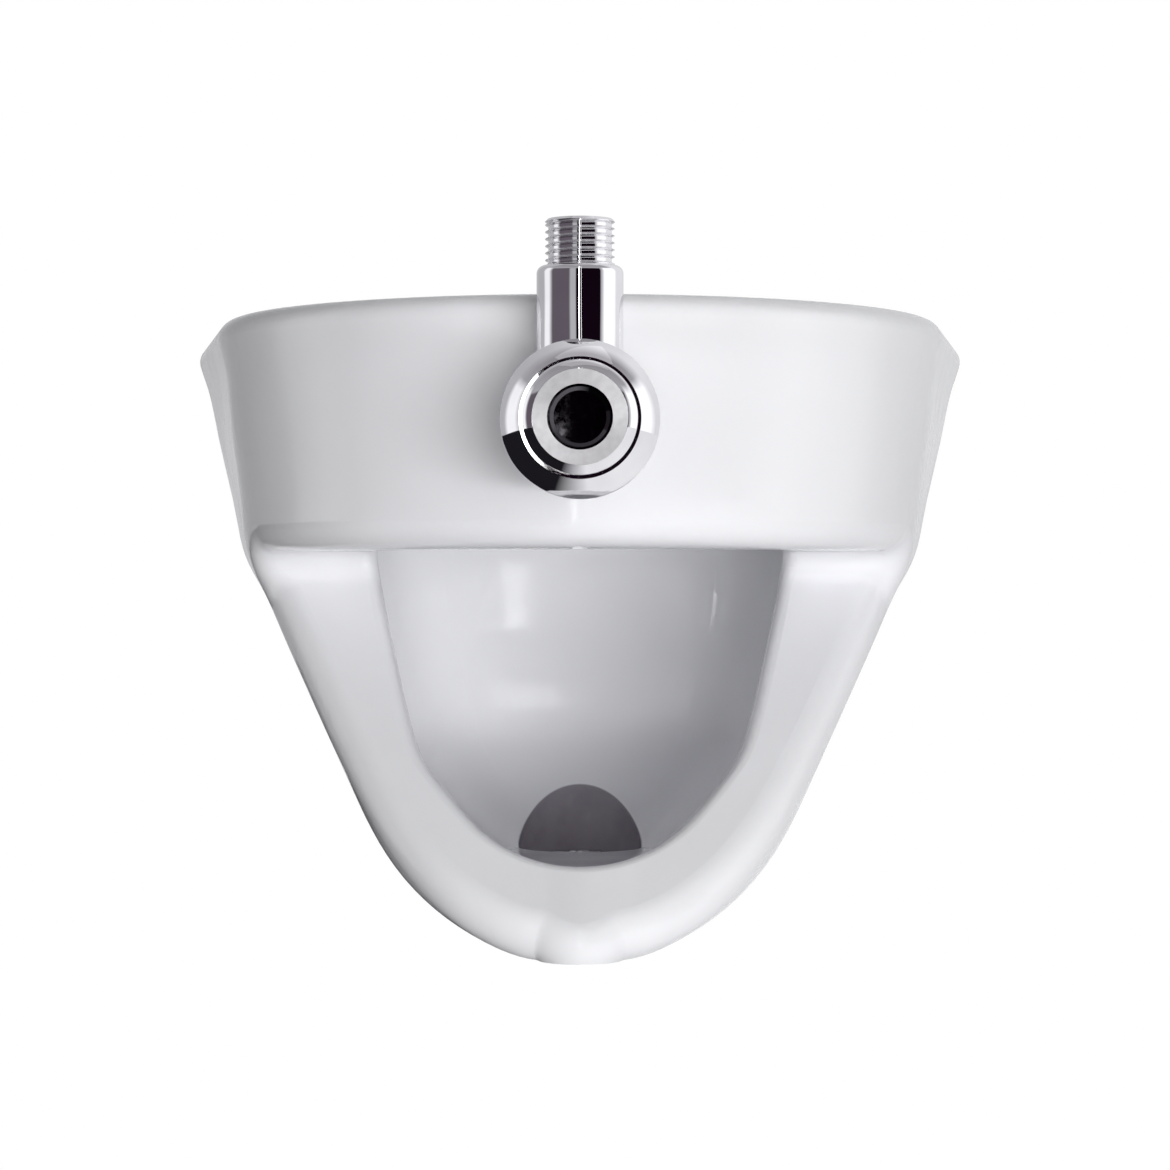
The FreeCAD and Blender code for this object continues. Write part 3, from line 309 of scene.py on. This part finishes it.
def turned_brass():
    """Bare brass with the fine rings of the lathe and a little tarnish."""
    made, tree, shader = material("turned_brass")
    cloud = noise(tree, 120.0, 4.0, 0.6)
    tarnish_and_painted_shade = ramp(tree, cloud, [(0.3, (0.42, 0.29, 0.12)), (0.65, (0.72, 0.54, 0.25))])
    rings = place(
        tree, "ShaderNodeTexWave",
        wave_type="RINGS", rings_direction="Y", scale=420.0, distortion=0.6,
    )
    tree.links.new(object_point(tree), rings.inputs["Vector"])
    cuts = rings.outputs["Fac"]
    gloss = ramp(tree, cuts, [(0.0, 0.24), (1.0, 0.38)])
    dress(tree, shader, tarnish_and_painted_shade, gloss, bump(tree, cuts, 0.2, 0.0002), 1.0)
    return made


def brushed_steel():
    """Plated steel sheet with grain along its length and a few dull spots."""
    made, tree, shader = material("brushed_steel")
    grain = noise(tree, 900.0, 3.0, 0.6, (0.06, 1.0, 1.0))
    shade = ramp(tree, grain, [(0.3, (0.46, 0.46, 0.47)), (0.7, (0.63, 0.63, 0.645))])
    gloss = ramp(tree, noise(tree, 80.0, 3.0), [(0.3, 0.24), (0.7, 0.42)])
    dress(tree, shader, shade, gloss, bump(tree, grain, 0.2, 0.0003), 1.0)
    return made


def black_rubber():
    """Moulded rubber: matt, faintly bloomed."""
    made, tree, shader = material("black_rubber")
    cloud = noise(tree, 90.0, 4.0, 0.6)
    bloom = ramp(tree, cloud, [(0.3, (0.018, 0.018, 0.020)), (0.75, (0.045, 0.045, 0.048))])
    gloss = ramp(tree, noise(tree, 300.0, 2.0), [(0.3, 0.55), (0.7, 0.75)])
    dress(tree, shader, bloom, gloss, bump(tree, noise(tree, 1400.0, 2.0), 0.25, 0.0003))
    return made


def moulded_plastic():
    """White moulded plastic with a fine spark-eroded skin."""
    made, tree, shader = material("moulded_plastic")
    cloud = noise(tree, 50.0, 2.0)
    shade = ramp(tree, cloud, [(0.3, (0.72, 0.72, 0.68)), (0.7, (0.79, 0.79, 0.755))])
    gloss = ramp(tree, noise(tree, 400.0, 2.0), [(0.3, 0.38), (0.7, 0.52)])
    dress(tree, shader, shade, gloss, bump(tree, noise(tree, 1800.0, 2.0), 0.2, 0.0002))
    return made


FINISHES = {
    "china": glazed_ceramic(),
    "chrome": chrome(),
    "insert": satin_chrome(),
    "brass": turned_brass(),
    "steel": brushed_steel(),
    "rubber": black_rubber(),
    "plastic": moulded_plastic(),
}
for node in nodes.values():
    for held in node.material_slots:
        held.material = FINISHES[held.material.name]


def mesh_piece(name, verts, faces, finish, body):
    mesh = bpy.data.meshes.new(name)
    mesh.from_pydata(verts, [], faces)
    mesh.update()
    piece = bpy.data.objects.new(name, mesh)
    bpy.context.scene.collection.objects.link(piece)
    mesh.materials.append(FINISHES[finish])
    mesh.polygons.foreach_set("use_smooth", [True] * len(mesh.polygons))
    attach(piece, body)


def inlet_thread():
    """A grid wrapped round the inlet whose radius follows one rounded helical ridge."""
    verts, faces = [], []
    for row in range(THREAD_ROWS + 1):
        height = THREAD_LOW + (THREAD_HIGH - THREAD_LOW) * row / THREAD_ROWS
        to_end = min(height - THREAD_LOW, THREAD_HIGH - height)
        bite = THREAD_DEPTH * min(1.0, to_end / (THREAD_FADE * THREAD_PITCH))
        for step in range(THREAD_AROUND):
            angle = 2 * math.pi * step / THREAD_AROUND
            phase = ((height - THREAD_LOW) / THREAD_PITCH - step / THREAD_AROUND) % 1.0
            groove = max(0.0, min(1.0, GROOVE_PEAK - GROOVE_FALL * abs(phase - 0.5)))
            groove = groove * groove * (3 - 2 * groove)
            radius = THREAD_RADIUS - bite * groove
            forward = -VALVE_OUT - radius * math.cos(angle)
            verts.append((radius * math.sin(angle), forward, height))
    for row in range(THREAD_ROWS):
        low, high = row * THREAD_AROUND, (row + 1) * THREAD_AROUND
        for step in range(THREAD_AROUND):
            beside = (step + 1) % THREAD_AROUND
            faces.append((low + step, low + beside, high + beside, high + step))
    mesh_piece("valve_thread", verts, faces, "chrome", "urinal")


def on_thread(vert):
    """Whether a point of the casting lies on the plain cylinder of its thread."""
    across, out, up = vert.co
    return (
        abs(math.hypot(across, out + VALVE_OUT) - THREAD_RADIUS) < ON_THREAD
        and THREAD_LOW - PAST_THREAD < up < THREAD_HIGH + PAST_THREAD
    )


def valve_casting():
    """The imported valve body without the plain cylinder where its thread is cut."""
    casting = nodes["valve_body"].copy()
    casting.data = nodes["valve_body"].data.copy()
    casting.name = "valve_casting"
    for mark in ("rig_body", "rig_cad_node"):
        if mark in casting:
            del casting[mark]
    bpy.context.scene.collection.objects.link(casting)
    casting.parent = None
    shell = bmesh.new()
    shell.from_mesh(casting.data)
    plain = [face for face in shell.faces if all(on_thread(vert) for vert in face.verts)]
    bmesh.ops.delete(shell, geom=plain, context="FACES_ONLY")
    shell.to_mesh(casting.data)
    shell.free()
    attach(casting, "urinal")
    return casting


inlet_thread()
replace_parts(valve_casting(), "valve_body")


def floor():
    """Pale floor, pure white to the camera; mirrored in the part it is pale on the right and
    dark on the left. From below it is clear."""
    made, tree, shader = material("pale_floor")
    shader.inputs["Base Color"].default_value = (0.72, 0.72, 0.73, 1.0)
    shader.inputs["Roughness"].default_value = 0.9
    path = place(tree, "ShaderNodeLightPath").outputs
    across = split(tree, object_point(tree))["X"]
    cloth_stops = [(0.38, (0.012, 0.011, 0.014)), (0.54, (0.90, 0.90, 0.92))]
    cloth = ramp(tree, centred(tree, across), cloth_stops)
    glow = place(tree, "ShaderNodeEmission")
    seen = mixed(tree, path["Is Camera Ray"], cloth, WHITE)
    tree.links.new(seen, glow.inputs["Color"])
    either = sums(tree, "MAXIMUM", path["Is Camera Ray"], path["Is Glossy Ray"])
    above = blended(tree, either, shader.outputs[0], glow.outputs[0])
    under = place(tree, "ShaderNodeNewGeometry").outputs["Backfacing"]
    clear = place(tree, "ShaderNodeBsdfTransparent").outputs[0]
    surface = blended(tree, under, above, clear)
    tree.links.new(surface, tree.nodes["Material Output"].inputs["Surface"])
    mesh = bpy.data.meshes.new("floor")
    signs = ((-1, -1), (1, -1), (1, 1), (-1, 1))
    corners = [(FLOOR_HALF * x, FLOOR_HALF * y, FLOOR_LEVEL) for x, y in signs]
    mesh.from_pydata(corners, [], [(0, 1, 2, 3)])
    mesh.materials.append(made)
    ground = bpy.data.objects.new("floor", mesh)
    bpy.context.scene.collection.objects.link(ground)


def band(tree, value, low, high, soft):
    """1 where value lies between low and high, fading to 0 over soft."""
    rise = sums(tree, "DIVIDE", sums(tree, "SUBTRACT", value, low), soft)
    fall = sums(tree, "DIVIDE", sums(tree, "SUBTRACT", high, value), soft)
    node = place(tree, "ShaderNodeClamp")
    tree.links.new(sums(tree, "MINIMUM", rise, fall), node.inputs[0])
    return node.outputs[0]


def studio():
    """A plain grey room round the part, paler behind it and to the right there, with dark
    windows ahead and a pale one at each side. Pure white to the camera."""
    world = bpy.data.worlds.new("studio")
    bpy.context.scene.world = world
    world.use_nodes = True
    tree = world.node_tree
    across, away, up = split(tree, place(tree, "ShaderNodeTexCoord").outputs["Generated"])
    turn = sums(tree, "ARCTAN2", across, sums(tree, "MULTIPLY", away, -1.0))
    walls = ramp(tree, centred(tree, up), [
        (0.0, (0.20, 0.20, 0.21)),
        (0.45, (0.48, 0.48, 0.50)),
        (0.62, (0.50, 0.50, 0.52)),
        (1.0, (0.30, 0.29, 0.31)),
    ])
    behind = ramp(tree, centred(tree, away), [(0.52, 0.0), (0.66, 1.0)])
    far_stops = [(0.2, (0.50, 0.50, 0.52)), (0.8, (0.85, 0.85, 0.87))]
    walls = mixed(tree, behind, walls, ramp(tree, centred(tree, across), far_stops))
    windows = [(low, high, DARK_BOTTOM, DARK_TOP, soft, DARK_EDGE, shade)
               for low, high, soft, shade in DARK_WINDOWS]
    windows += [(low, high, bottom, top, soft, soft, shade)
                for low, high, bottom, top, soft, shade in PALE_WINDOWS]
    for low, high, bottom, top, side_edge, level_edge, shade in windows:
        aside = band(tree, turn, math.radians(low), math.radians(high), side_edge)
        level = band(tree, up, bottom, top, level_edge)
        walls = mixed(tree, sums(tree, "MULTIPLY", aside, level), walls, shade)
    path = place(tree, "ShaderNodeLightPath").outputs
    dimmed = mixed(tree, 1.0 - FILL, walls, BLACK)
    shown = mixed(tree, path["Is Glossy Ray"], dimmed, walls)
    seen = mixed(tree, path["Is Camera Ray"], shown, WHITE)
    tree.links.new(seen, tree.nodes["Background"].inputs["Color"])


def area_light(name, at, towards, wide, high, power, diffuse, mirrored):
    lamp = bpy.data.lights.new(name, "AREA")
    lamp.shape = "RECTANGLE"
    lamp.size = wide
    lamp.size_y = high
    lamp.energy = power
    holder = bpy.data.objects.new(name, lamp)
    bpy.context.scene.collection.objects.link(holder)
    holder.location = at
    aim = Vector(towards) - Vector(at)
    holder.rotation_euler = aim.to_track_quat("-Z", "Y").to_euler()
    holder.visible_diffuse = diffuse
    holder.visible_glossy = mirrored


def camera():
    seen = bpy.data.cameras.new("camera")
    seen.sensor_width = SENSOR
    seen.lens = SENSOR * FOCAL_PIXELS / PHOTO_PIXELS
    seen.shift_x = AXIS_LEFT / PHOTO_PIXELS
    holder = bpy.data.objects.new("camera", seen)
    bpy.context.scene.collection.objects.link(holder)
    holder.location = (0.0, -CAMERA_OUT, CAMERA_UP)
    holder.rotation_euler = (math.radians(90), 0.0, 0.0)
    bpy.context.scene.camera = holder


bpy.context.scene.view_settings.view_transform = "Standard"
floor()
studio()
for light in LIGHTS:
    area_light(*light)
camera()
